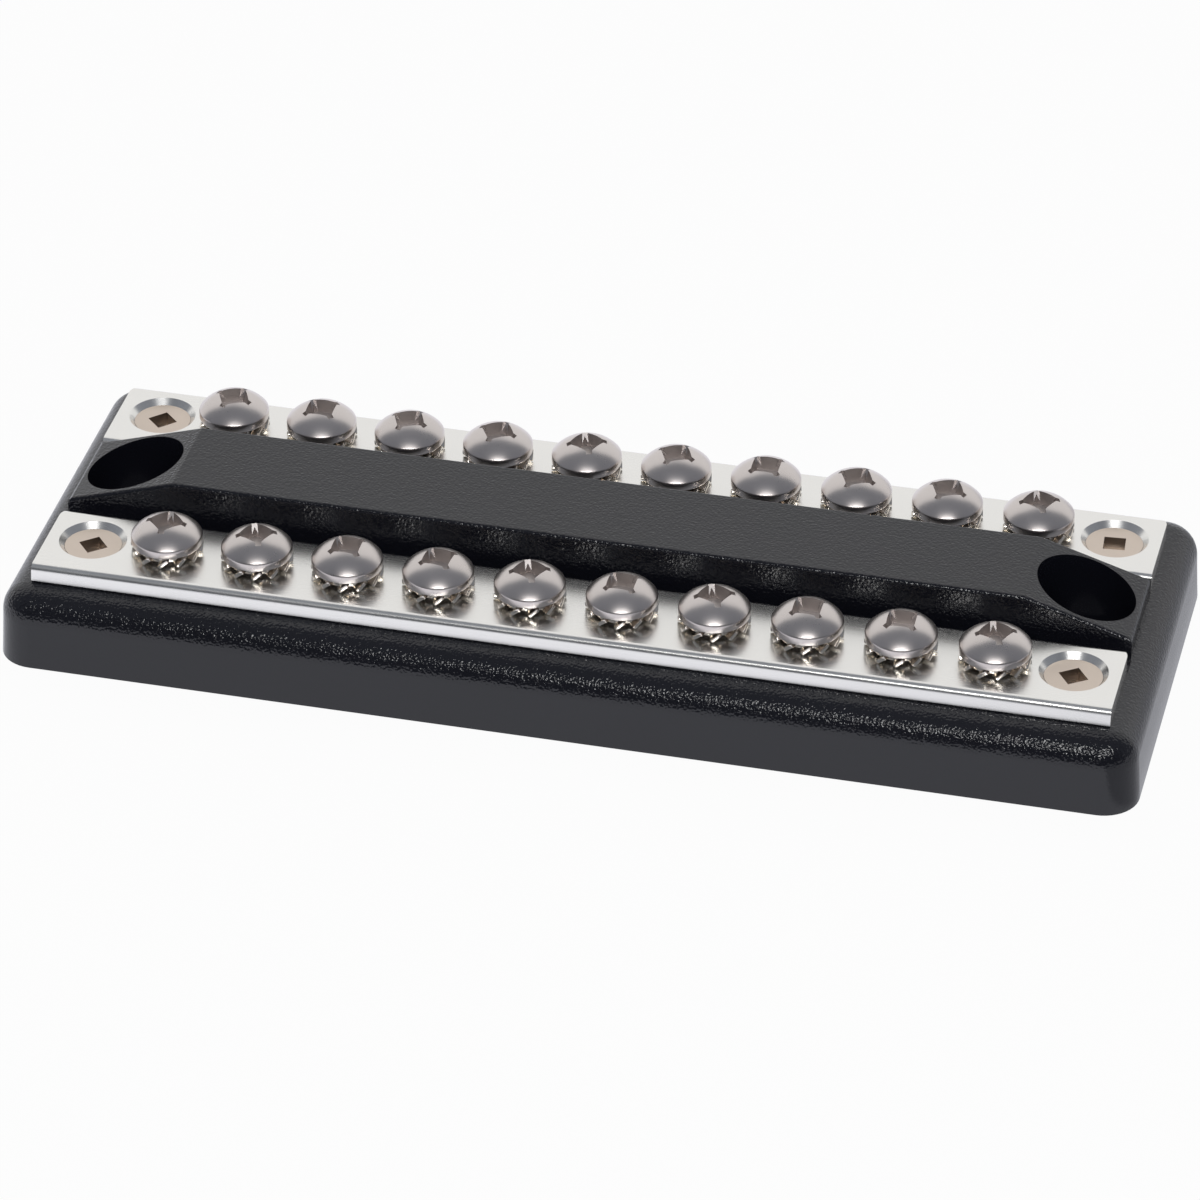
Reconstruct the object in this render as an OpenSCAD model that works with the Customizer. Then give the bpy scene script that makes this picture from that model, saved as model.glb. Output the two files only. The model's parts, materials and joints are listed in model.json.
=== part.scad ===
// Dual bus bar: a moulded base with a raised centre ridge, two flat plated bars,
// a row of terminal screws with lock washers on each bar, and countersunk screws that hold the bars down.
// Origin: centre of the base's underside. +X along the bars, -Y towards the front bar, +Z up. Millimetres.

/* [Terminals] */
// Number of terminal screws on each bar
terminals = 10; // [4:1:12]
// Distance from one terminal screw to the next
pitch = 12; // [11:0.5:20]
// Distance from the last terminal screw to the bar's fixing screw
fixing_gap = 10; // [10:0.5:20]

/* [Bars] */
// Width of a bar
bar_w = 14.3; // [13:0.1:25]
// Thickness of a bar
bar_t = 2.4; // [2:0.1:4]
// Length of a bar beyond its fixing screw
bar_end = 6; // [5.5:0.1:12]
// Distance of the screw row behind the middle of the bar
row_offset = 0.6; // [0:0.1:0.8]
// Radius of the bar's rear corners
bar_corner_r = 2; // [0.8:0.1:4]
// Radius along the bar's upper long edges
bar_edge_r = 0.9; // [0.3:0.05:0.9]
// Angle that the bar's long sides lean inwards
bar_lean = 8; // [2:1:12]
// Chamfer along the bar's lower long edges
bar_foot = 0.2; // [0.1:0.05:0.4]
// Mean gap between a bar and the ridge
ridge_gap = 1.1; // [0.9:0.1:4]

/* [Base] */
// Height of the deck that the bars lie on
deck_h = 10.2; // [9.6:0.1:16]
// Mean width of the base beyond the outer edge of a bar
side_ledge = 5.2; // [4:0.1:10]
// Length of the base beyond the end of a bar
end_ledge = 4.2; // [3.6:0.1:10]
// Radius of the base's upright corners at its foot
corner_r = 4.8; // [4.4:0.1:8]
// Radius of the base's top edge
edge_r = 4; // [1:0.1:4.2]
// Draft of the base's outer walls, in degrees
draft = 3.3; // [0.5:0.1:5]
// Thickness of the outer wall
wall_t = 2.8; // [2:0.1:3.2]
// Thickness of the deck
deck_t = 2.6; // [2:0.1:3.5]
// Thickness of the ribs underneath
rib_t = 1.6; // [1:0.1:2.4]
// Height of the ribs' lower edges above the underside
rib_lift = 0.6; // [0.2:0.1:1.2]
// Wall round each screw well
boss_wall = 1.4; // [1:0.1:1.8]

/* [Ridge] */
// Width of the ridge
ridge_w = 14.4; // [14:0.1:22]
// Height of the ridge above the deck
ridge_h = 6.9; // [5:0.1:12]
// Height of the ridge's ends above the deck
ridge_end_h = 2.5; // [1:0.1:3.5]
// Length of each sloping end
slope_run = 14.2; // [12:0.1:18]
// Radius along the ridge's top edges
ridge_edge_r = 0.5; // [0.2:0.05:1]
// Radius of the top edge at each end of the ridge
ridge_end_r = 0.8; // [0.3:0.1:1]
// Wall of the hollow under the ridge
ridge_wall = 2.4; // [1.6:0.1:3.2]

/* [Mounting holes] */
// Distance of each mounting hole from the end of the ridge
mount_inset = 7.1; // [6.8:0.1:9]
// Diameter of the counterbore for the mounting screw's head
counterbore_d = 12.7; // [9:0.1:13.2]
// Diameter of the mounting hole
mount_hole_d = 5.4; // [4:0.1:6.5]
// Thickness of the floor that the mounting screw's head bears on
mount_floor = 4; // [3:0.1:6]

/* [Terminal screws] */
// Diameter of the screw thread
thread_d = 4.8; // [4:0.1:5.2]
// Length of the screw below its head
screw_l = 9.5; // [8:0.1:10.2]
// Chamfer at the tip of every screw
tip_chamfer = 0.5; // [0.2:0.1:0.8]
// Diameter of the pan head
head_d = 9.2; // [8:0.1:10]
// Height of the pan head
head_h = 3.35; // [2.8:0.05:3.8]
// Radius of the pan head's shoulder
shoulder_r = 0.5; // [0.3:0.05:0.9]
// Height of the centre of the shoulder's arc above the head's underside
shoulder_h = 0.9; // [0.5:0.05:1.2]
// Radius of the head's lower edge
under_r = 0.15; // [0.1:0.05:0.4]
// Width of the cross recess from tip to tip
recess_w = 5.3; // [4:0.1:6]
// Depth of the cross recess
recess_depth = 2.1; // [1.4:0.1:2.3]
// Width of one wing of the cross recess
wing_t = 0.8; // [0.7:0.05:1.4]
// Width of the flared middle of the cross recess from corner to corner
flare_w = 4.9; // [2.6:0.1:5.2]

/* [Lock washers] */
// Outer diameter of the lock washer
washer_d = 9.3; // [8.4:0.1:10]
// Thickness of the washer's sheet
washer_t = 0.5; // [0.4:0.05:0.8]
// Number of twisted teeth
teeth = 12; // [8:1:13]
// Width of a tooth
tooth_w = 1.5; // [1.1:0.05:1.6]
// Angle that a tooth is twisted through
tooth_twist = 41; // [20:1:50]

/* [Bar fixing screws] */
// Diameter of the countersunk head
fixing_head_d = 7.4; // [7:0.1:8.2]
// Diameter of the countersink in the bar
sink_d = 8.8; // [8.5:0.1:9.6]
// Included angle of the countersink
sink_angle = 82; // [80:1:90]
// Diameter of the fixing screw's thread
fixing_d = 4; // [3:0.1:4.4]
// Length of the fixing screw below the top of the bar
fixing_l = 10; // [8:0.1:10.4]
// Side of the square recess
square_w = 2.8; // [2:0.1:3.2]
// Depth of the square recess
square_depth = 1.8; // [1:0.1:2.2]

/* [Clearances] */
// Radial gap round a thread in its tapped hole
thread_gap = 0.1; // [0.05:0.01:0.1]
// Gap at each face of a captive washer
washer_gap = 0.05; // [0.02:0.01:0.1]
// Radial gap round a screw in its well
well_gap = 0.6; // [0.3:0.1:1]
// Gap below the tip of a screw in its well
tip_gap = 0.8; // [0.4:0.1:1.2]

/* [Hidden] */
$fn = 64;
bore_overrun = 1;
hair = 0.001;

row_l = (terminals - 1) * pitch;
fixing_x = row_l / 2 + fixing_gap;
bar_l = 2 * (fixing_x + bar_end);
row_y = (ridge_w + bar_w) / 2 + ridge_gap;
base_l = bar_l + 2 * end_ledge;
base_w = 2 * row_y + bar_w + 2 * side_ledge;
mount_x = bar_l / 2 - mount_inset;
flat_x = bar_l / 2 - slope_run;

bar_top = deck_h + bar_t;
ridge_top = deck_h + ridge_h;
slope_angle = atan((ridge_h - ridge_end_h) / slope_run);

washer_h = tooth_w * sin(tooth_twist) + washer_t * cos(tooth_twist);
washer_z = bar_top + washer_gap;
head_z = washer_z + washer_h + washer_gap;
screw_tip_z = head_z - screw_l;

tapped_d = thread_d + 2 * thread_gap;
well_d = thread_d + 2 * well_gap;
well_floor_z = screw_tip_z - tip_gap;
pilot_d = fixing_d + 2 * thread_gap;
pilot_floor_z = bar_top - fixing_l - tip_gap;
fixing_hole_d = fixing_d + well_gap;
sink_slope = tan(sink_angle / 2);
sink_depth = (sink_d - fixing_hole_d) / 2 / sink_slope;
sink_mouth_d = sink_d + 2 * bore_overrun * sink_slope;
fixing_head_z = bar_top - (sink_d - fixing_head_d) / 2 / sink_slope + washer_gap;
fixing_cone_z = fixing_head_z - (fixing_head_d - fixing_d) / 2 / sink_slope;
relief_d = max(fixing_hole_d, sink_d - 2 * bar_t * sink_slope);

shoulder_x = head_d / 2 - shoulder_r;
shoulder_rise = head_h - shoulder_h;
crown_r = (pow(shoulder_x, 2) + pow(shoulder_rise, 2) - pow(shoulder_r, 2)) / (2 * (shoulder_rise - shoulder_r));
crown_z = head_h - crown_r;
recess_mouth = crown_r - sqrt(pow(crown_r, 2) - pow(recess_w / 2, 2));

plastic = [0.12, 0.12, 0.13];
plated = [0.86, 0.86, 0.84];
steel = [0.74, 0.73, 0.71];
nickel = [0.80, 0.74, 0.66];

// Direction of each cross recess, in degrees from the bar's length
front_turns = [0, 22, 45, 40, 20, 45, 22, 45, 47, 20];
rear_turns = [-20, 45, -22, -15, 20, -20, 45, -20, -22, 20];

function row_x(i) = (i - (terminals + 1) / 2) * pitch;
function two_digits(i) = i < 10 ? str("0", i) : str(i);
function screw_name(side, i) = str(side, "_terminal_screw_", two_digits(i));
function washer_name(side, i) = str(side, "_lock_washer_", two_digits(i));
function turn(turns, i) = turns[(i - 1) % len(turns)];

// Outline and edge shapes

// A rectangle with round corners, centred
module round_plan(l, w, r) {
    square([l - 2 * r, w], center = true);
    square([l, w - 2 * r], center = true);
    for (sx = [-1, 1], sy = [-1, 1])
        translate([sx * (l / 2 - r), sy * (w / 2 - r)])
            circle(r);
}

// Section through the base's outer edge, from a corner's axis outwards: a drafted wall that runs a hair into its
// round top edge
module edge_section() {
    arc_z = deck_h - edge_r;
    arc_x = corner_r - edge_r / cos(draft) - arc_z * tan(draft);
    wall_x = arc_x + (edge_r - hair) * cos(draft);
    wall_z = arc_z + (edge_r - hair) * sin(draft);
    intersection() {
        square([corner_r, deck_h]);
        union() {
            polygon([[0, 0], [corner_r, 0], [wall_x, wall_z], [arc_x, deck_h], [0, deck_h]]);
            translate([arc_x, arc_z])
                circle(edge_r);
        }
    }
}

// A straight length of the base's outer edge, along X and facing -Y
module edge_run(l) {
    rotate([90, 0, -90])
        linear_extrude(l, center = true)
            edge_section();
}

// The base's outer form: a slab with round corners, drafted walls and a rounded top edge
module slab() {
    core_l = base_l - 2 * corner_r;
    core_w = base_w - 2 * corner_r;
    translate([-core_l / 2, -core_w / 2, 0])
        cube([core_l, core_w, deck_h]);
    for (side = [0, 180])
        rotate(side)
            translate([0, -core_w / 2, 0])
                edge_run(core_l);
    for (side = [90, 270])
        rotate(side)
            translate([0, -core_l / 2, 0])
                edge_run(core_w);
    for (sx = [0, 1], sy = [0, 1])
        mirror([sx, 0, 0])
            mirror([0, sy, 0])
                translate([core_l / 2, core_w / 2, 0])
                    rotate_extrude(angle = 90)
                        edge_section();
}

// A long bar of the ridge's section, its rounded top edge at z = 0, along X
module ridge_beam() {
    reach = base_l;
    rotate([90, 0, 90])
        linear_extrude(2 * reach, center = true)
            union() {
                translate([-ridge_w / 2, -reach])
                    square([ridge_w, reach - ridge_edge_r]);
                translate([-ridge_w / 2 + ridge_edge_r, -reach])
                    square([ridge_w - 2 * ridge_edge_r, reach]);
                for (side = [-1, 1])
                    translate([side * (ridge_w / 2 - ridge_edge_r), -ridge_edge_r])
                        circle(ridge_edge_r);
            }
}

// What is cut from the top edge at the ridge's right end to round it
module ridge_end_cut() {
    reach = ridge_end_r + bore_overrun;
    arc_z = deck_h + ridge_end_h + ridge_end_r * (tan(slope_angle) - 1 / cos(slope_angle));
    translate([bar_l / 2 - ridge_end_r, 0, arc_z])
        rotate([90, 0, 0])
            linear_extrude(2 * ridge_w, center = true)
                difference() {
                    polygon([[0, 0], [reach, 0], [reach, reach], reach * [sin(slope_angle), cos(slope_angle)]]);
                    circle(ridge_end_r);
                }
}

// The ridge: a level beam cut down by one sloping beam at each end
module ridge() {
    difference() {
        intersection() {
            translate([-bar_l / 2, -ridge_w, deck_h - deck_t / 2])
                cube([bar_l, 2 * ridge_w, ridge_h + deck_t]);
            translate([0, 0, ridge_top])
                ridge_beam();
            intersection_for (end = [-1, 1])
                translate([end * flat_x, 0, ridge_top])
                    rotate([0, end * slope_angle, 0])
                        ridge_beam();
        }
        for (end = [0, 1])
            mirror([end, 0, 0])
                ridge_end_cut();
    }
}

// Places along the rows

module at_terminals() {
    for (i = [1 : terminals], side = [-1, 1])
        translate([row_x(i), side * row_y, 0])
            children();
}

module at_fixings() {
    for (end = [-1, 1], side = [-1, 1])
        translate([end * fixing_x, side * row_y, 0])
            children();
}

module at_mounts() {
    for (end = [-1, 1])
        translate([end * mount_x, 0, 0])
            children();
}

// The base and its underside

module hollow() {
    translate([0, 0, -bore_overrun])
        linear_extrude(deck_h - deck_t + bore_overrun)
            round_plan(base_l - 2 * wall_t, base_w - 2 * wall_t, corner_r - wall_t / 2);
}

// A wall standing under the deck, from one place to another along X or Y
module rib(from, to) {
    size = [abs(to[0] - from[0]) + rib_t, abs(to[1] - from[1]) + rib_t, deck_h - deck_t / 2 - rib_lift];
    translate([(from[0] + to[0]) / 2 - size[0] / 2, (from[1] + to[1]) / 2 - size[1] / 2, rib_lift])
        cube(size);
}

module ribs() {
    reach_x = base_l / 2 - wall_t;
    reach_y = base_w / 2 - wall_t;
    for (side = [-1, 1]) {
        rib([-reach_x, side * row_y], [reach_x, side * row_y]);
        rib([-mount_x, side * (ridge_w - rib_t) / 2], [mount_x, side * (ridge_w - rib_t) / 2]);
    }
    for (k = [-floor((terminals - 2) / 4) : floor((terminals - 2) / 4)])
        rib([2 * k * pitch, -reach_y], [2 * k * pitch, reach_y]);
}

module screw_bosses() {
    at_terminals()
        translate([0, 0, well_floor_z - boss_wall])
            cylinder(d = well_d + 2 * boss_wall, h = deck_h - deck_t / 2 - well_floor_z + boss_wall);
    at_fixings()
        translate([0, 0, pilot_floor_z - boss_wall])
            cylinder(d = pilot_d + 2 * boss_wall, h = deck_h - deck_t / 2 - pilot_floor_z + boss_wall);
    at_mounts()
        cylinder(d = counterbore_d + 2 * ridge_wall, h = deck_h - deck_t / 2);
}

// Hollow under the ridge, between the two mounting bosses
module ridge_hollow() {
    l = 2 * (mount_x - counterbore_d / 2 - ridge_wall);
    w = ridge_w - 2 * ridge_wall;
    translate([-l / 2, -w / 2, deck_h - deck_t - bore_overrun])
        cube([l, w, ridge_h - ridge_wall + deck_t + bore_overrun]);
}

module base() {
    color(plastic)
        difference() {
            union() {
                difference() {
                    union() {
                        slab();
                        ridge();
                    }
                    hollow();
                    ridge_hollow();
                }
                ribs();
                screw_bosses();
            }
            at_terminals()
                translate([0, 0, well_floor_z])
                    cylinder(d = well_d, h = deck_h);
            at_fixings() {
                translate([0, 0, pilot_floor_z])
                    cylinder(d = pilot_d, h = deck_h);
                translate([0, 0, fixing_cone_z - thread_gap])
                    cylinder(d = relief_d, h = deck_h);
            }
            at_mounts() {
                translate([0, 0, mount_floor])
                    cylinder(d = counterbore_d, h = ridge_top);
                translate([0, 0, -bore_overrun])
                    cylinder(d = mount_hole_d, h = mount_floor + 2 * bore_overrun);
            }
        }
}

// The bars

// Section across a bar, with its screw row at y = 0: leaning sides, round upper edges and chamfered lower edges.
// Each side runs a hair into the round edge above it.
module bar_section() {
    arc_z = bar_t - bar_edge_r;
    arc_y = bar_w / 2 - bar_edge_r / cos(bar_lean) - arc_z * tan(bar_lean);
    side_y = arc_y + (bar_edge_r - hair) * cos(bar_lean);
    side_z = arc_z + (bar_edge_r - hair) * sin(bar_lean);
    foot_y = bar_w / 2 - bar_foot * tan(bar_lean);
    half = [[bar_w / 2 - bar_foot, 0], [foot_y, bar_foot], [side_y, side_z], [arc_y, bar_t]];
    translate([-row_offset, 0])
        union() {
            polygon(concat(half, [for (k = [len(half) - 1 : -1 : 0]) [-half[k][0], half[k][1]]]));
            for (side = [-1, 1])
                translate([side * arc_y, arc_z])
                    circle(bar_edge_r);
        }
}

// What is cut from a rear corner to round it, with the corner at the origin
module corner_cut() {
    translate([-bar_corner_r, -bar_corner_r, -bore_overrun])
        linear_extrude(bar_t + 2 * bore_overrun)
            difference() {
                square(bar_corner_r + bore_overrun);
                circle(bar_corner_r);
            }
}

module bar() {
    rear_y = bar_w / 2 - row_offset;
    translate([0, 0, deck_h])
        difference() {
            rotate([90, 0, 90])
                linear_extrude(bar_l, center = true)
                    bar_section();
            for (end = [0, 1])
                mirror([end, 0, 0])
                    translate([bar_l / 2, rear_y, 0])
                        corner_cut();
            for (i = [1 : terminals])
                translate([row_x(i), 0, -bore_overrun])
                    cylinder(d = tapped_d, h = bar_t + 2 * bore_overrun);
            for (end = [-1, 1])
                translate([end * fixing_x, 0, 0]) {
                    translate([0, 0, -bore_overrun])
                        cylinder(d = fixing_hole_d, h = bar_t + 2 * bore_overrun);
                    translate([0, 0, bar_t - sink_depth])
                        cylinder(d1 = fixing_hole_d, d2 = sink_mouth_d, h = sink_depth + bore_overrun);
                }
        }
}

module front_bar() {
    color(plated)
        translate([0, -row_y, 0])
            bar();
}

module rear_bar() {
    color(plated)
        translate([0, row_y, 0])
            bar();
}

// A plain shank with a chamfered tip, standing on its tip at z = 0
module shank(d, l) {
    cylinder(d1 = d - 2 * tip_chamfer, d2 = d, h = tip_chamfer);
    translate([0, 0, tip_chamfer])
        cylinder(d = d, h = l - tip_chamfer);
}

// Countersunk screws that hold the bars down

module fixing_screw(spin) {
    rotate(spin)
        difference() {
            union() {
                translate([0, 0, fixing_cone_z])
                    cylinder(d1 = fixing_d, d2 = fixing_head_d, h = fixing_head_z - fixing_cone_z);
                translate([0, 0, bar_top - fixing_l])
                    shank(fixing_d, fixing_l - bar_top + (fixing_cone_z + fixing_head_z) / 2);
            }
            translate([-square_w / 2, -square_w / 2, fixing_head_z - square_depth])
                cube([square_w, square_w, square_depth + bore_overrun]);
        }
}

module fixing_at(end, side, spin) {
    color(nickel)
        translate([end * fixing_x, side * row_y, 0])
            fixing_screw(spin);
}

module front_fixing_screw_left() fixing_at(-1, -1, 40);
module front_fixing_screw_right() fixing_at(1, -1, 35);
module rear_fixing_screw_left() fixing_at(-1, 1, 45);
module rear_fixing_screw_right() fixing_at(1, 1, 5);

// Terminal screws

// Half section of the pan head: a rim with an eased lower edge, a shoulder arc and a crown arc a hair inside it
module head_section() {
    r = head_d / 2;
    ray = 2 * [shoulder_x, shoulder_h - crown_z];
    intersection() {
        square([r, head_h]);
        union() {
            square([r - under_r, shoulder_h]);
            translate([0, under_r])
                square([r, shoulder_h - under_r]);
            translate([r - under_r, under_r])
                circle(under_r);
            translate([shoulder_x, shoulder_h])
                circle(shoulder_r);
            intersection() {
                translate([0, crown_z])
                    circle(crown_r - hair);
                polygon([[0, crown_z], [ray[0], crown_z + ray[1]], [0, crown_z + ray[1]]]);
            }
        }
    }
}

// A slot along X whose ends lean inwards, with its length l measured where the wings' tips meet the crown
module tapered_slot(l, w, lean) {
    half_top = l / 2 + (recess_mouth + bore_overrun) * tan(lean);
    half_bottom = l / 2 - (recess_depth - recess_mouth) * tan(lean);
    rotate([90, 0, 0])
        linear_extrude(w, center = true)
            polygon([
                [-half_top, bore_overrun], [half_top, bore_overrun],
                [half_bottom, -recess_depth], [-half_bottom, -recess_depth]
            ]);
}

// The cross recess, with the crown's top at z = 0: two crossed wings and a flared square between them
module cross_recess() {
    wing_lean = 40;
    flare_lean = 11;
    flare_side = flare_w / sqrt(2);
    for (turn = [0, 90])
        rotate(turn)
            tapered_slot(recess_w, wing_t, wing_lean);
    intersection_for (turn = [45, 135])
        rotate(turn)
            tapered_slot(flare_side, 2 * recess_w, flare_lean);
}

module terminal_screw(x, y, spin) {
    color(steel)
        translate([x, y, head_z])
            rotate(spin)
                difference() {
                    union() {
                        rotate_extrude()
                            head_section();
                        translate([0, 0, -screw_l])
                            shank(thread_d, screw_l + shoulder_h);
                    }
                    translate([0, 0, head_h])
                        cross_recess();
                }
}

// Lock washers

// External-tooth lock washer: a flat ring with blades twisted about their own radius
module lock_washer(x, y, spin) {
    hole_r = thread_d / 2 + well_gap / 2;
    ring_r = (hole_r + washer_d / 2) / 2;
    color(plated)
        translate([x, y, washer_z + washer_h / 2])
            rotate(spin)
                difference() {
                    intersection() {
                        cylinder(d = washer_d, h = 2 * washer_h, center = true);
                        union() {
                            cylinder(r = ring_r, h = washer_t, center = true);
                            for (k = [0 : teeth - 1])
                                rotate(k * 360 / teeth)
                                    rotate([tooth_twist, 0, 0])
                                        translate([hole_r + washer_t, -tooth_w / 2, -washer_t / 2])
                                            cube([washer_d, tooth_w, washer_t]);
                        }
                    }
                    cylinder(r = hole_r, h = 2 * washer_h, center = true);
                }
}

base();
front_bar();
rear_bar();
front_fixing_screw_left();
front_fixing_screw_right();
rear_fixing_screw_left();
rear_fixing_screw_right();
for (i = [1 : terminals]) {
    terminal_screw(row_x(i), -row_y, turn(front_turns, i));
    terminal_screw(row_x(i), row_y, turn(rear_turns, i));
    lock_washer(row_x(i), -row_y, turn(rear_turns, i));
    lock_washer(row_x(i), row_y, turn(front_turns, i));
}
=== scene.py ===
"""Dual bus bar: finishes, threads, washers, stage and camera around its frame."""
import json
import math

import bpy
from bpy.props import FloatProperty, FloatVectorProperty, PointerProperty
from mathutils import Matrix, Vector


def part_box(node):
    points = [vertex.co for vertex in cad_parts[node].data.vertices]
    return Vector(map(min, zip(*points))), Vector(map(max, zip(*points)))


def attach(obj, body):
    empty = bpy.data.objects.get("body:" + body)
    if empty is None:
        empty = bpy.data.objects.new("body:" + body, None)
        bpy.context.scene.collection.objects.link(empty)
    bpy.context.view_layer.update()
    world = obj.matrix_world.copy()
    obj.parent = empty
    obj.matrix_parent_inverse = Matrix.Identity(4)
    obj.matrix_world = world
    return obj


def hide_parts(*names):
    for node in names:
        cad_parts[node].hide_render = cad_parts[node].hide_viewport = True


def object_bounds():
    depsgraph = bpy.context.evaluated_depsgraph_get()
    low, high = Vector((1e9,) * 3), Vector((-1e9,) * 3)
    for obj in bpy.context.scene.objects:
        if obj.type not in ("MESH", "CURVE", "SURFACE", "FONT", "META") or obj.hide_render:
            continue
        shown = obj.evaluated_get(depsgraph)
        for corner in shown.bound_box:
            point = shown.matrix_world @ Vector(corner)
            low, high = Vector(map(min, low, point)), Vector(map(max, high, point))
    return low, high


bl_info = {
    "name": "Dual bus bar",
    "version": (1, 0, 0),
    "blender": (4, 5, 0),
    "location": "View3D > Sidebar > Bus bar",
    "description": "Dresses the dual bus bar's frame with its finishes and sets its stage",
    "category": "Object",
}

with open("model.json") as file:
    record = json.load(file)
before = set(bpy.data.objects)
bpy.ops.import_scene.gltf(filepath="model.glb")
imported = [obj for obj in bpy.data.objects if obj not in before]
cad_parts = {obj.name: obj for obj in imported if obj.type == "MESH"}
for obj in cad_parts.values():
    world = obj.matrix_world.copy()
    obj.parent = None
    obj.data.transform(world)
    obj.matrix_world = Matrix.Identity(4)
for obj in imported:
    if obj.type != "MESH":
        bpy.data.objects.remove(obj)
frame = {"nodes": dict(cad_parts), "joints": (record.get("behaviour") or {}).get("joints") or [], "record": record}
CAD_BOX = [list(corner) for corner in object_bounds()]
SLOTS = {row["node"]: row["material_slot"] for row in frame["record"]["subparts"]}
BODY_OF = {node: body for body, nodes in frame["record"]["behaviour"]["bodies"].items() for node in nodes}
MM = 0.001
WHITE = (1.0, 1.0, 1.0)
UP = (0, 0, 1)

# Meshes: the angle up to which edges look smooth, and the thread's groove, its widths as shares of the lead
SMOOTH = math.radians(30)
MERGE = 0.001 * MM
GROOVE_STEPS = 32
GROOVE_ROOT = 0.14
GROOVE_MOUTH = 0.92
GROOVE_REACH = 0.05 * MM

# Driver recesses: walls that lean towards the axis, and floors that are flat and sunk
WALL_LEAN = -0.05
FLAT = 0.9
SUNK = 0.3 * MM

# Plastic: shares of the grain's depth on the side walls and the ridge's top, and where the grain fades
PLASTIC_IOR = 1.53
GRAIN_DETAIL = 0.7
NOISE_MEAN = 0.5
WELL_FADE = 0.1 * MM
WALL_GRAIN = 0.2
WALL_FADE = 1.5 * MM
TOP_GRAIN = 0.7
TOP_FADE = 0.2 * MM
TOP_SKIM = 0.05 * MM

# Metals: the lines of drawn stock, the fine unevenness of each finish and the extra roughness of recesses
DRAWN_LINES = (30.0, 9000.0, 9000.0)
LINE_DEPTH = 0.0012 * MM
SCREW_SPECKLE = {"speckle": 4000.0, "depth": 0.0008 * MM}
WASHER_SPECKLE = {"speckle": 3000.0, "depth": 0.002 * MM}
FIXING_SPECKLE = {"speckle": 5000.0, "depth": 0.003 * MM}
SCREW_DULLING = 0.12
FIXING_DULLING = 0.1

# Stage: the floor, the soft edges of the backdrop and of the dark low front, and the camera
FLOOR_SIZE = 6.0
FLOOR_GAP = 0.02 * MM
FLOOR_GREY = (0.86, 0.86, 0.86)
FLOOR_WHITE = 0.96
FLOOR_FADE = 3
# Share of the floor's painted glow left beside the object's right end, as painted shadow in what metal sees
SIDE_SHADOW_SHARE = 0.6
BACKDROP_BLUR = 0.03
LOW_FRONT = (-0.3, -0.7)
LOW_HEIGHT = (0.85, 0.55)
SENSOR = 36.0
VIEW_DEPTH = 20.0


def nodes_in(slot):
    """The frame's objects whose finish is this slot, in the order of their names."""
    return [frame["nodes"][name] for name in sorted(SLOTS) if SLOTS[name] == slot]


# Settings that a user would change

class BasePlastic(bpy.types.PropertyGroup):
    """Black moulded plastic of the base"""
    colour: FloatVectorProperty(
        name="Colour", description="Colour of the moulding", subtype="COLOR",
        default=(0.011, 0.0115, 0.017))
    roughness: FloatProperty(
        name="Roughness", description="Roughness of the moulded skin", subtype="FACTOR", default=0.12)
    grain: FloatProperty(
        name="Grain", description="Size of one grain of the skin", subtype="DISTANCE", unit="LENGTH",
        default=0.32 * MM)
    grain_depth: FloatProperty(
        name="Grain depth", description="Depth of the grain", subtype="DISTANCE", unit="LENGTH",
        default=0.105 * MM)
    well: FloatProperty(
        name="Well", description="Radius of the smooth wells round the mounting holes", unit="LENGTH",
        default=6.4 * MM)
    wall_top: FloatProperty(
        name="Wall top", description="Height of the smoother side walls", unit="LENGTH", default=6.2 * MM)


class BarPlating(bpy.types.PropertyGroup):
    """Bright plating of the two bars"""
    colour: FloatVectorProperty(
        name="Colour", description="Colour of the plating", subtype="COLOR", default=(0.97, 0.957, 0.927))
    roughness: FloatProperty(
        name="Roughness", description="Roughness of the plating", subtype="FACTOR", default=0.26)


class ScrewMetal(bpy.types.PropertyGroup):
    """Polished metal of the terminal screws"""
    colour: FloatVectorProperty(
        name="Colour", description="Colour of the screw heads", subtype="COLOR",
        default=(0.735, 0.68, 0.655))
    roughness: FloatProperty(
        name="Roughness", description="Roughness of the polished heads", subtype="FACTOR", default=0.29)
    lead: FloatProperty(
        name="Thread lead", description="Rise of the thread in one turn", unit="LENGTH",
        default=0.79375 * MM)
    thread_depth: FloatProperty(
        name="Thread depth", description="Depth of the thread's groove", unit="LENGTH", default=0.48 * MM)
    recess_reach: FloatProperty(
        name="Recess reach", description="Reach of the cross recess from the axis", unit="LENGTH",
        default=2.7 * MM)
    # Painted shade: the share of the head's brightness left in the recess's colour, standing in for the shade
    # inside it
    recess_shade_gain: FloatProperty(
        name="Recess gain", description="Brightness of the recess beside the head's", subtype="FACTOR",
        default=0.85)


class WasherMetal(bpy.types.PropertyGroup):
    """Plating of the lock washers"""
    colour: FloatVectorProperty(
        name="Colour", description="Colour of the washers", subtype="COLOR", default=(0.88, 0.82, 0.74))
    roughness: FloatProperty(
        name="Roughness", description="Roughness of the washers", subtype="FACTOR", default=0.13)
    edge: FloatProperty(
        name="Edge", description="Width of the broken edges of the stamped teeth", unit="LENGTH",
        default=0.05 * MM)


class FixingMetal(bpy.types.PropertyGroup):
    """Warm satin plating of the countersunk screws"""
    colour: FloatVectorProperty(
        name="Colour", description="Colour of the fixing screws", subtype="COLOR",
        default=(0.73, 0.63, 0.545))
    roughness: FloatProperty(
        name="Roughness", description="Roughness of the fixing screws", subtype="FACTOR", default=0.32)
    recess_reach: FloatProperty(
        name="Recess reach", description="Reach of the square recess from the axis", unit="LENGTH",
        default=2.1 * MM)
    # Painted shade: the share of the face's brightness left in the square recess's colour, standing in for the
    # shade inside it
    recess_shade_gain: FloatProperty(
        name="Recess gain", description="Brightness of the recess beside the face's", subtype="FACTOR",
        default=0.6)


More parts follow.
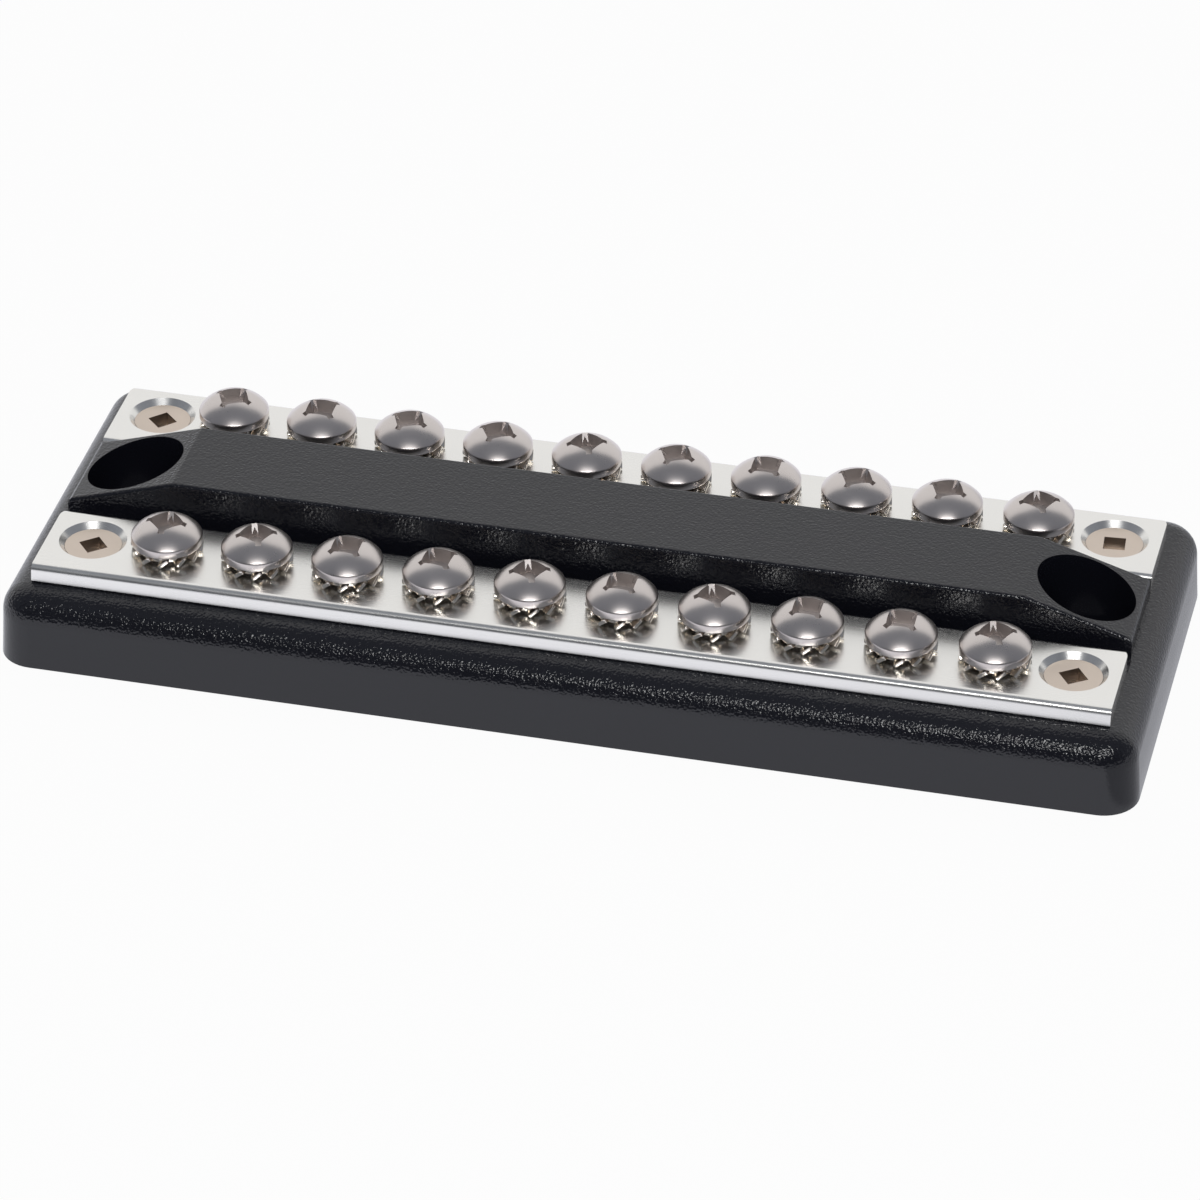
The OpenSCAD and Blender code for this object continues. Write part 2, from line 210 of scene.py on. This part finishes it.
class Studio(bpy.types.PropertyGroup):
    """Camera, lamp and surroundings"""
    azimuth: FloatProperty(
        name="Azimuth", description="Turn of the camera to the right of the front", subtype="ANGLE",
        default=math.radians(13.405))
    elevation: FloatProperty(
        name="Elevation", description="Height of the camera above the bars", subtype="ANGLE",
        default=math.radians(33.416))
    distance: FloatProperty(
        name="Distance", description="Distance from the camera to the middle of the bars", unit="LENGTH",
        default=0.8047)
    lens: FloatProperty(
        name="Lens", description="Focal length on a 36 mm frame, in millimetres", default=187.3)
    aim_right: FloatProperty(
        name="Aim right", description="How far right of the middle the camera looks", unit="LENGTH",
        default=-0.000514)
    aim_up: FloatProperty(
        name="Aim up", description="How far above the middle the camera looks", unit="LENGTH",
        default=-0.007834)
    lamp_elevation: FloatProperty(
        name="Lamp elevation", description="Height of the front lamp", subtype="ANGLE",
        default=math.radians(40))
    lamp_power: FloatProperty(
        name="Lamp power", description="Power of the front lamp", unit="POWER", default=1.8)
    lamp_width: FloatProperty(
        name="Lamp width", description="Width of the front lamp", unit="LENGTH", default=0.5)
    lamp_height: FloatProperty(
        name="Lamp height", description="Height of the front lamp's face", unit="LENGTH", default=0.11)
    lamp_distance: FloatProperty(
        name="Lamp distance", description="Distance from the bars to the front lamp", unit="LENGTH",
        default=0.9)
    backdrop: FloatProperty(
        name="Backdrop", description="Brightness of the white backdrop", subtype="FACTOR", default=0.8)
    backdrop_top: FloatProperty(
        name="Backdrop top", description="Height of the backdrop's top edge", subtype="ANGLE",
        default=math.radians(76))
    backdrop_side: FloatProperty(
        name="Backdrop side", description="Turn from the backdrop's middle to its side edges",
        subtype="ANGLE", default=math.radians(67))
    room: FloatVectorProperty(
        name="Room", description="Colour of the room round the backdrop", subtype="COLOR",
        default=(0.19, 0.203, 0.23))
    dusk: FloatProperty(
        name="Dusk", description="Share of the room's brightness low in front", subtype="FACTOR",
        default=0.4)
    # Painted light: the floor's glow that metal and plastic see near the object
    floor_glow: FloatVectorProperty(
        name="Floor glow", description="Colour of the floor near the object in metal and plastic",
        subtype="COLOR", default=(0.90, 0.91, 0.975))
    # Painted light: the reach of the floor's white glow in metal before it fades to the dim room
    floor_reach: FloatProperty(
        name="Floor reach", description="How far in front of the middle the floor looks white in metal",
        unit="LENGTH", default=0.06)


# Node materials

class Wire:
    """A node's output that Python's operators can work on."""

    def __init__(self, sheet, socket):
        self.sheet = sheet
        self.socket = socket

    def maths(self, operation, first, second):
        return self.sheet.add("ShaderNodeMath", {"operation": operation}, {0: first, 1: second})

    def __add__(self, other):
        return self.maths("ADD", self, other)

    def __radd__(self, other):
        return self.maths("ADD", other, self)

    def __sub__(self, other):
        return self.maths("SUBTRACT", self, other)

    def __rsub__(self, other):
        return self.maths("SUBTRACT", other, self)

    def __mul__(self, other):
        return self.maths("MULTIPLY", self, other)

    def __rmul__(self, other):
        return self.maths("MULTIPLY", other, self)

    def __abs__(self):
        return self.maths("ABSOLUTE", self, 0.0)


class Sheet:
    """The node tree of a material or a world, emptied and drawn up again."""

    def __init__(self, owner):
        owner.use_nodes = True
        self.owner = owner
        self.tree = owner.node_tree
        self.tree.nodes.clear()

    def add(self, kind, settings=None, sockets=None, out=0):
        """Adds a node, sets it up, links or fills its sockets and returns one output."""
        node = self.tree.nodes.new(kind)
        for name, value in (settings or {}).items():
            setattr(node, name, value)
        for name, value in (sockets or {}).items():
            if isinstance(value, Wire):
                self.tree.links.new(value.socket, node.inputs[name])
            else:
                node.inputs[name].default_value = value
        return Wire(self, node.outputs[out]) if node.outputs else None

    def coordinates(self):
        return self.add("ShaderNodeTexCoord", out="Object")

    def along(self, vector, axis):
        """How far a vector reaches along an axis."""
        return self.add("ShaderNodeVectorMath", {"operation": "DOT_PRODUCT"}, {0: vector, 1: axis}, "Value")

    def stretched(self, scale):
        """Object coordinates scaled along each axis."""
        return self.add("ShaderNodeMapping", {}, {"Vector": self.coordinates(), "Scale": scale})

    def noise(self, vector, scale, detail, roughness=0.5):
        sockets = {"Vector": vector, "Scale": scale, "Detail": detail, "Roughness": roughness}
        return self.add("ShaderNodeTexNoise", {}, sockets, "Fac")

    def ramp(self, value, low, high, start=0.0, end=1.0):
        """Maps low..high to start..end, held at both ends."""
        sockets = {"Value": value, "From Min": low, "From Max": high, "To Min": start, "To Max": end}
        return self.add("ShaderNodeMapRange", {"clamp": True}, sockets)

    def mix(self, factor, first, second):
        """A colour between two others."""
        node = {"data_type": "RGBA"}
        return self.add("ShaderNodeMix", node, {0: factor, 6: rgba(first), 7: rgba(second)}, 2)

    def clouded(self, cloud, colour, darker, lighter):
        """A colour that a cloud of noise takes from a darker to a lighter tint."""
        return self.mix(cloud, tinted(colour, darker), tinted(colour, lighter))

    def bump(self, height, distance):
        return self.add("ShaderNodeBump", {}, {"Height": height, "Distance": distance, "Strength": 1.0})

    def principled(self, sockets):
        surface = self.add("ShaderNodeBsdfPrincipled", {}, sockets)
        self.add("ShaderNodeOutputMaterial", {}, {"Surface": surface})
        return self.owner


def rgba(colour):
    """A colour with its alpha, or a wire as it is."""
    return colour if isinstance(colour, Wire) else (*colour[:3], 1.0)


def tinted(colour, gain):
    """A colour made lighter or darker."""
    return tuple(min(1.0, channel * gain) for channel in colour[:3])


def spread(noise, width):
    """A noise's values about nought, over this width."""
    return width * (noise - NOISE_MEAN)


def new_sheet(name):
    return Sheet(bpy.data.materials.new(name))


def outside_wells(sheet, place, radius):
    """Nought within this radius of the mounting holes' axes and one further out."""
    hole = next(m for m in frame["record"]["mounts"] if m["kind"] == "bore")["pos_m"]
    level = sheet.add("ShaderNodeVectorMath", {"operation": "MULTIPLY"}, {0: place, 1: (1, 1, 0)}, "Vector")
    folded = sheet.add("ShaderNodeVectorMath", {"operation": "ABSOLUTE"}, {0: level}, "Vector")
    middle = (abs(hole[0]), 0, 0)
    from_hole = sheet.add("ShaderNodeVectorMath", {"operation": "DISTANCE"}, {0: folded, 1: middle}, "Value")
    return sheet.ramp(from_hole, radius, radius + WELL_FADE)


def plastic_finish(settings):
    """Black plastic with the fine grain of its mould, shallower on the walls and the ridge's top."""
    sheet = new_sheet("base_plastic")
    place = sheet.coordinates()
    grain = sheet.noise(place, 1 / settings.grain, GRAIN_DETAIL) - NOISE_MEAN
    skin = outside_wells(sheet, place, settings.well)
    height = sheet.along(place, UP)
    upper = sheet.ramp(height, settings.wall_top, settings.wall_top + WALL_FADE, WALL_GRAIN, 1.0)
    ridge_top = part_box("base")[1].z
    below_top = sheet.ramp(height, ridge_top - TOP_FADE, ridge_top - TOP_SKIM, 1.0, TOP_GRAIN)
    cloud = sheet.noise(place, scale=60.0, detail=3.0)
    return sheet.principled({
        "Base Color": sheet.clouded(cloud, settings.colour, darker=0.85, lighter=1.2),
        "Roughness": settings.roughness + spread(cloud, width=0.06),
        "IOR": PLASTIC_IOR,
        "Normal": sheet.bump(grain * skin * upper * below_top, settings.grain_depth),
    })


def bar_finish(settings):
    """Bright satin plating, with the faint lines of drawn stock along its length."""
    sheet = new_sheet("bar_plating")
    lines = sheet.noise(sheet.stretched(DRAWN_LINES), scale=1.0, detail=3.0, roughness=0.6)
    cloud = sheet.noise(sheet.coordinates(), scale=120.0, detail=4.0)
    return sheet.principled({
        "Base Color": sheet.clouded(cloud, settings.colour, darker=0.96, lighter=1.03),
        "Metallic": 1.0,
        "Roughness": settings.roughness + spread(cloud, width=0.08) + spread(lines, width=0.06),
        "Normal": sheet.bump(lines, LINE_DEPTH),
    })


def metal_finish(name, settings, speckle, depth, gain=1.0, dulling=0.0):
    """Plated or polished metal with fine unevenness, as bright as its settings, or darker by a gain as painted
    shade and rougher by a dulling.
    """
    sheet = new_sheet(name)
    place = sheet.coordinates()
    fine = sheet.noise(place, scale=speckle, detail=4.0, roughness=0.6)
    cloud = sheet.noise(place, scale=250.0, detail=3.0)
    return sheet.principled({
        # The gain darkens the colour of recess finishes as painted shade
        "Base Color": sheet.clouded(cloud, settings.colour, darker=0.92 * gain, lighter=1.06 * gain),
        "Metallic": 1.0,
        "Roughness": settings.roughness + dulling + spread(cloud, width=0.08) + spread(fine, width=0.05),
        "Normal": sheet.bump(fine, depth),
    })


def dress(objects, material):
    """Gives each object this one finish."""
    for piece in objects:
        piece.data.materials.clear()
        piece.data.materials.append(material)


def shade_and_dull_recess(piece, axis, reach, underside, shaded_dull):
    """Gives the walls and floor of a head's driver recess a finish of their own: rougher, and darker as painted
    shade.
    """
    piece.data.materials.append(shaded_dull)
    top = max(corner[2] for corner in piece.bound_box)
    for face in piece.data.polygons:
        out = face.center.xy - axis.xy
        inward = face.normal.xy.dot(out.normalized()) < WALL_LEAN
        sunk = face.normal.z > FLAT and face.center.z < top - SUNK
        if out.length < reach and face.center.z > underside and (inward or sunk):
            face.material_index = 1


# Pieces modelled from the frame

def only(piece):
    """Selects this piece alone and makes it active."""
    bpy.ops.object.select_all(action="DESELECT")
    piece.select_set(True)
    bpy.context.view_layer.objects.active = piece


def in_edit_mode(piece, *steps):
    """Runs edit-mode steps on all of a piece."""
    only(piece)
    bpy.ops.object.mode_set(mode="EDIT")
    bpy.ops.mesh.select_all(action="SELECT")
    for step in steps:
        step()
    bpy.ops.object.mode_set(mode="OBJECT")


def finish_with(piece, kind, **settings):
    """Adds one modifier to a piece and applies it."""
    only(piece)
    modifier = piece.modifiers.new(kind.lower(), kind)
    for name, value in settings.items():
        setattr(modifier, name, value)
    bpy.ops.object.modifier_apply(modifier=modifier.name)


def joined_copy(node, name):
    """A copy of a node as a piece of its own, with its loose triangles joined."""
    piece = bpy.data.objects.new(name, frame["nodes"][node].data.copy())
    bpy.context.collection.objects.link(piece)
    in_edit_mode(piece, lambda: bpy.ops.mesh.remove_doubles(threshold=MERGE))
    bpy.ops.mesh.customdata_custom_splitnormals_clear()
    return piece


def take_over(piece, node):
    """Lets a finished piece stand for its node, on the same body."""
    only(piece)
    bpy.ops.object.shade_smooth_by_angle(angle=SMOOTH)
    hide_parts(node)
    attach(piece, BODY_OF[node])


def thread_groove(radius, depth, lead, top, length):
    """A closed helical groove for a thread about the Z axis: a tapered square swept along a helix."""
    bpy.ops.object.select_all(action="DESELECT")
    bpy.ops.mesh.primitive_plane_add(size=1, rotation=(math.pi / 2, 0, 0))
    groove = bpy.context.object
    groove.name = "thread_groove"
    bpy.ops.object.transform_apply(rotation=True)
    root, mouth = radius - depth, radius + GROOVE_REACH
    for vertex in groove.data.vertices:
        outer = vertex.co.x > 0
        width = lead * (GROOVE_MOUTH if outer else GROOVE_ROOT)
        vertex.co = (mouth if outer else root, 0, top - length + vertex.co.z * width)
    in_edit_mode(groove, lambda: bpy.ops.mesh.delete(type="ONLY_FACE"))
    finish_with(groove, "SCREW", axis="Z", screw_offset=lead, iterations=math.ceil(length / lead),
                steps=GROOVE_STEPS, render_steps=GROOVE_STEPS, use_merge_vertices=False)
    in_edit_mode(
        groove,
        lambda: bpy.ops.mesh.fill_holes(sides=0),
        lambda: bpy.ops.mesh.normals_make_consistent(inside=False),
    )
    return groove


def shank_radius(node, axis, below):
    """Radius of a screw's shank about its vertical axis, from the vertices below a height."""
    return max((v.co.xy - axis.xy).length for v in frame["nodes"][node].data.vertices if v.co.z < below)


def cut_thread(piece, groove, axis):
    """Cuts a groove round a piece whose shank stands on this vertical axis."""
    groove.location = axis
    bpy.context.view_layer.update()
    finish_with(piece, "BOOLEAN", operation="DIFFERENCE", object=groove, solver="EXACT")


# Operators

class BUSBAR_OT_dress_base(bpy.types.Operator):
    """Give the base its black moulded skin"""
    bl_idname = "busbar.dress_base"
    bl_label = "Dress base"

    def execute(self, context):
        dress(nodes_in("base_plastic"), plastic_finish(context.scene.busbar_base))
        return {"FINISHED"}


class BUSBAR_OT_dress_bars(bpy.types.Operator):
    """Give the two bars their bright plating"""
    bl_idname = "busbar.dress_bars"
    bl_label = "Dress bars"

    def execute(self, context):
        dress(nodes_in("bar_plating"), bar_finish(context.scene.busbar_bars))
        return {"FINISHED"}


class BUSBAR_OT_dress_screws(bpy.types.Operator):
    """Cut the terminal screws' threads and give them their polish"""
    bl_idname = "busbar.dress_screws"
    bl_label = "Dress terminal screws"

    def execute(self, context):
        settings = context.scene.busbar_screws
        gain = settings.recess_shade_gain
        polish = metal_finish("screw_steel", settings, **SCREW_SPECKLE)
        # The recess finish is rougher, and darker by the recess gain as painted shade
        shaded_dull = metal_finish("screw_recess", settings, gain=gain, dulling=SCREW_DULLING, **SCREW_SPECKLE)
        hinges = {joint["child"]: joint for joint in frame["joints"] if joint["type"] == "hinge"}
        bar_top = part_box("front_bar")[1].z
        axes = {}
        for node in nodes_in("screw_steel"):
            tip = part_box(node.name)[0].z
            axes[node.name] = Vector((*hinges[BODY_OF[node.name]]["pos_m"][:2], tip))
        first, axis = next(iter(axes.items()))
        top = bar_top + 0.5 * settings.lead - axis.z
        radius = shank_radius(first, axis, bar_top)
        groove = thread_groove(radius, settings.thread_depth, settings.lead, top, top + settings.lead)
        for name, axis in axes.items():
            screw = joined_copy(name, name.replace("screw", "threaded_screw"))
            cut_thread(screw, groove, axis)
            dress([screw], polish)
            shade_and_dull_recess(screw, axis, settings.recess_reach, bar_top, shaded_dull)
            take_over(screw, name)
        bpy.data.objects.remove(groove)
        return {"FINISHED"}


class BUSBAR_OT_dress_washers(bpy.types.Operator):
    """Break the edges of the lock washers and give them their plating"""
    bl_idname = "busbar.dress_washers"
    bl_label = "Dress lock washers"

    def execute(self, context):
        settings = context.scene.busbar_washers
        plating = metal_finish("washer_plating", settings, **WASHER_SPECKLE)
        for node in nodes_in("washer_plating"):
            washer = joined_copy(node.name, node.name.replace("washer", "toothed_washer"))
            finish_with(washer, "BEVEL", width=settings.edge, segments=2, limit_method="ANGLE",
                        angle_limit=math.radians(40))
            dress([washer], plating)
            take_over(washer, node.name)
        return {"FINISHED"}


class BUSBAR_OT_dress_fixings(bpy.types.Operator):
    """Give the countersunk screws their warm plating"""
    bl_idname = "busbar.dress_fixings"
    bl_label = "Dress fixing screws"

    def execute(self, context):
        settings = context.scene.busbar_fixings
        gain = settings.recess_shade_gain
        plating = metal_finish("fixing_plating", settings, **FIXING_SPECKLE)
        # The recess finish is rougher, and darker by the recess gain as painted shade
        shaded_dull = metal_finish("fixing_recess", settings, gain=gain, dulling=FIXING_DULLING, **FIXING_SPECKLE)
        bar_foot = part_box("front_bar")[0].z
        for screw in nodes_in("fixing_plating"):
            low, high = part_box(screw.name)
            dress([screw], plating)
            shade_and_dull_recess(screw, (low + high) / 2, settings.recess_reach, bar_foot, shaded_dull)
        return {"FINISHED"}


def facing(azimuth, elevation):
    """Unit vector from the object towards a place at this azimuth and elevation."""
    level = math.cos(elevation)
    return Vector((math.sin(azimuth) * level, -math.cos(azimuth) * level, math.sin(elevation)))


def look_at(thing, target):
    """Turns a camera or lamp at its place towards a point."""
    thing.rotation_euler = (target - thing.location).to_track_quat("-Z", "Y").to_euler()


def floor_finish(studio):
    """Pale floor with a soft shadow, white to the camera, with a painted pool of light that metal sees near it and
    painted shadow beside the right end, and clear from below.
    """
    sheet = new_sheet("floor")
    path = {"camera": "Is Camera Ray", "glossy": "Is Glossy Ray", "clear": "Is Transmission Ray"}
    rays = {name: sheet.add("ShaderNodeLightPath", out=socket) for name, socket in path.items()}
    seen = rays["camera"] * FLOOR_WHITE + rays["glossy"] + rays["clear"]
    place = sheet.coordinates()
    # Painted light and shadow in what metal sees: a white pool ahead of the object that fades to the dim room,
    # shaded beside the right end
    ahead = sheet.along(place, facing(studio.azimuth, 0))
    far = sheet.ramp(ahead, studio.floor_reach, FLOOR_FADE * studio.floor_reach)
    right_end = CAD_BOX[1][0]
    beside = sheet.ramp(sheet.along(place, (1, 0, 0)), right_end - MM, right_end + MM)
    near = sheet.mix(beside, studio.floor_glow, tinted(studio.floor_glow, SIDE_SHADOW_SHARE))
    mirrored = sheet.mix(far, near, tinted(studio.room, studio.dusk))
    glow = sheet.mix(rays["glossy"], WHITE, mirrored)
    matt = sheet.add("ShaderNodeBsdfDiffuse", {}, {"Color": rgba(FLOOR_GREY)})
    white = sheet.add("ShaderNodeEmission", {}, {"Color": glow, "Strength": 1.0})
    upper = sheet.add("ShaderNodeMixShader", {}, {0: seen, 1: matt, 2: white})
    lower = sheet.add("ShaderNodeBsdfTransparent")
    from_below = sheet.add("ShaderNodeNewGeometry", out="Backfacing")
    surface = sheet.add("ShaderNodeMixShader", {}, {0: from_below, 1: upper, 2: lower})
    sheet.add("ShaderNodeOutputMaterial", {}, {"Surface": surface})
    return sheet.owner


def surroundings(scene, studio):
    """A white backdrop behind the object and a grey room over, beside and in front of it."""
    world = bpy.data.worlds.new("studio")
    scene.world = world
    sheet = Sheet(world)
    direction = sheet.add("ShaderNodeTexCoord", out="Generated")
    behind = sheet.along(direction, -facing(studio.azimuth, 0))
    across = sheet.along(direction, facing(studio.azimuth + math.pi / 2, 0))
    height = sheet.along(direction, UP)
    within = behind - abs(across) * (1 / math.tan(studio.backdrop_side))
    under = behind - height * (1 / math.tan(studio.backdrop_top))
    blur = (-BACKDROP_BLUR, BACKDROP_BLUR)
    sheeting = sheet.ramp(within, *blur) * sheet.ramp(under, *blur)
    low_front = sheet.ramp(behind, *LOW_FRONT) * sheet.ramp(height, *LOW_HEIGHT)
    room = sheet.mix(low_front, studio.room, tinted(studio.room, studio.dusk))
    colour = sheet.mix(sheeting, room, tinted(WHITE, studio.backdrop))
    seen = sheet.add("ShaderNodeLightPath", out="Is Camera Ray")
    light = sheet.add("ShaderNodeBackground", {}, {"Color": sheet.mix(seen, colour, WHITE), "Strength": 1.0})
    sheet.add("ShaderNodeOutputWorld", {}, {"Surface": light})


def lay_floor(studio):
    """Lays a wide floor just under the object."""
    bpy.ops.object.select_all(action="DESELECT")
    bpy.ops.mesh.primitive_plane_add(size=FLOOR_SIZE, location=(0, 0, -FLOOR_GAP))
    floor = bpy.context.object
    floor.name = "floor"
    dress([floor], floor_finish(studio))


def set_camera(scene, studio, heart):
    """Sets the camera at the photograph's angle, aimed a little off the middle of the bars."""
    back = facing(studio.azimuth, studio.elevation)
    right = facing(studio.azimuth + math.pi / 2, 0)
    up = back.cross(right)
    bpy.ops.object.camera_add(location=heart + back * studio.distance)
    camera = bpy.context.object
    camera.data.lens = studio.lens
    camera.data.sensor_width = SENSOR
    camera.data.clip_end = VIEW_DEPTH
    look_at(camera, heart + right * studio.aim_right + up * studio.aim_up)
    scene.camera = camera


def hang_lamp(studio, heart):
    """Hangs a wide, low lamp in front of the bars."""
    towards_lamp = facing(studio.azimuth, studio.lamp_elevation)
    bpy.ops.object.light_add(type="AREA", location=heart + towards_lamp * studio.lamp_distance)
    lamp = bpy.context.object
    lamp.data.shape = "RECTANGLE"
    lamp.data.size = studio.lamp_width
    lamp.data.size_y = studio.lamp_height
    lamp.data.energy = studio.lamp_power
    look_at(lamp, heart)


class BUSBAR_OT_set_stage(bpy.types.Operator):
    """Lay the floor, hang the lamp and set the camera"""
    bl_idname = "busbar.set_stage"
    bl_label = "Set stage"

    def execute(self, context):
        scene = context.scene
        studio = scene.busbar_studio
        scene.view_settings.view_transform = "Standard"
        heart = Vector((0, 0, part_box("front_bar")[1].z))
        lay_floor(studio)
        set_camera(scene, studio, heart)
        hang_lamp(studio, heart)
        surroundings(scene, studio)
        return {"FINISHED"}


class BUSBAR_PT_sidebar(bpy.types.Panel):
    """Steps that dress the bus bar"""
    bl_label = "Bus bar"
    bl_idname = "BUSBAR_PT_sidebar"
    bl_space_type = "VIEW_3D"
    bl_region_type = "UI"
    bl_category = "Bus bar"

    def draw(self, context):
        for step in STEPS:
            self.layout.operator(step.bl_idname)


SETTINGS = {
    "busbar_base": BasePlastic,
    "busbar_bars": BarPlating,
    "busbar_screws": ScrewMetal,
    "busbar_washers": WasherMetal,
    "busbar_fixings": FixingMetal,
    "busbar_studio": Studio,
}
STEPS = (
    BUSBAR_OT_dress_base,
    BUSBAR_OT_dress_bars,
    BUSBAR_OT_dress_screws,
    BUSBAR_OT_dress_washers,
    BUSBAR_OT_dress_fixings,
    BUSBAR_OT_set_stage,
)


def register():
    for group in SETTINGS.values():
        bpy.utils.register_class(group)
    for name, group in SETTINGS.items():
        setattr(bpy.types.Scene, name, PointerProperty(type=group))
    for step in STEPS:
        bpy.utils.register_class(step)
    bpy.utils.register_class(BUSBAR_PT_sidebar)


def unregister():
    bpy.utils.unregister_class(BUSBAR_PT_sidebar)
    for step in reversed(STEPS):
        bpy.utils.unregister_class(step)
    for name in SETTINGS:
        delattr(bpy.types.Scene, name)
    for group in reversed(list(SETTINGS.values())):
        bpy.utils.unregister_class(group)


def main():
    register()
    bpy.ops.busbar.dress_base()
    bpy.ops.busbar.dress_bars()
    bpy.ops.busbar.dress_screws()
    bpy.ops.busbar.dress_washers()
    bpy.ops.busbar.dress_fixings()
    bpy.ops.busbar.set_stage()


if __name__ == "__main__":
    main()
